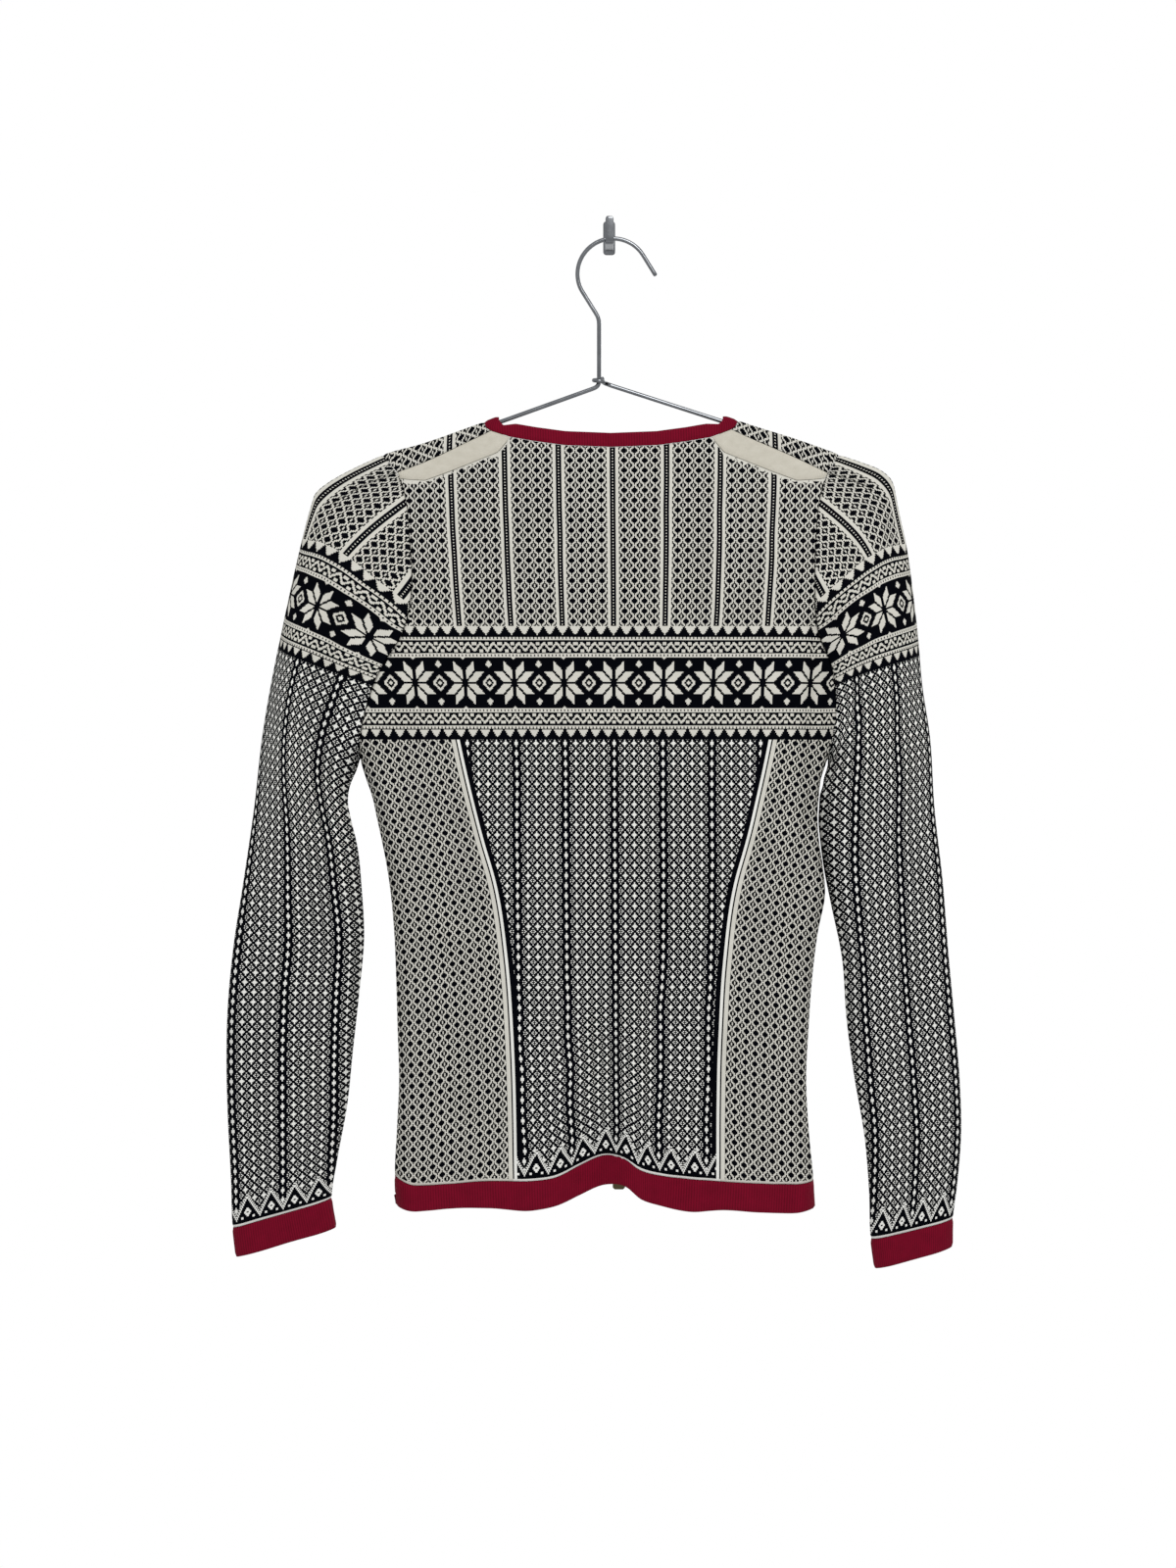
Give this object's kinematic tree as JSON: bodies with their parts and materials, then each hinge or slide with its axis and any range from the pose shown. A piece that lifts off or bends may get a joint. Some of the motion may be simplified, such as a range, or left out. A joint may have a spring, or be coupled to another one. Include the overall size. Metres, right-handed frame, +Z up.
{
  "type": "zip-up sweater on a wire hanger",
  "caption": "Fine-knit zip-up sweater with long sleeves and contrast bands, shown from behind on a wire hanger that hangs from a wall hook.",
  "frame": {"origin": "centre of the wall plate's back face, on the wall", "axes": "+Y into the wall, +Z up, +X to the right of someone facing the sweater's back, which faces -Y"},
  "size_m": [0.5358, 0.0569, 0.7695],
  "materials": {
    "knit": "two-colour jacquard knit, matt",
    "plain_knit": "plain cream knit, matt",
    "trim": "dark red fine rib, matt",
    "tape": "woven zip tape",
    "zip_metal": "dark lacquer",
    "chrome": "bright plate"
  },
  "bodies": {
    "sweater": {"back": "knit", "front_left": "knit", "front_right": "knit", "sleeve_left": "knit", "sleeve_right": "knit", "shoulder_inset_left": "plain_knit", "shoulder_inset_right": "plain_knit", "neckband": "trim", "hem_back": "trim", "hem_front_left": "trim", "hem_front_right": "trim", "cuff_left": "trim", "cuff_right": "trim", "zip_tape_left": "tape", "zip_tape_right": "tape", "zip_chain": "zip_metal", "zip_slider": "zip_metal", "zip_box": "zip_metal", "hanger": "chrome", "wall_hook": "chrome", "wall_plate": "chrome"},
    "pull": {"zip_pull": "zip_metal"}
  },
  "joints": [
    {"name": "zip_pull_swing", "type": "hinge", "parent": "sweater", "child": "pull", "pos_m": [0.00109, -0.01743, -0.21041], "axis": [1, 0, 0], "range_deg": [0, 150]}
  ]
}
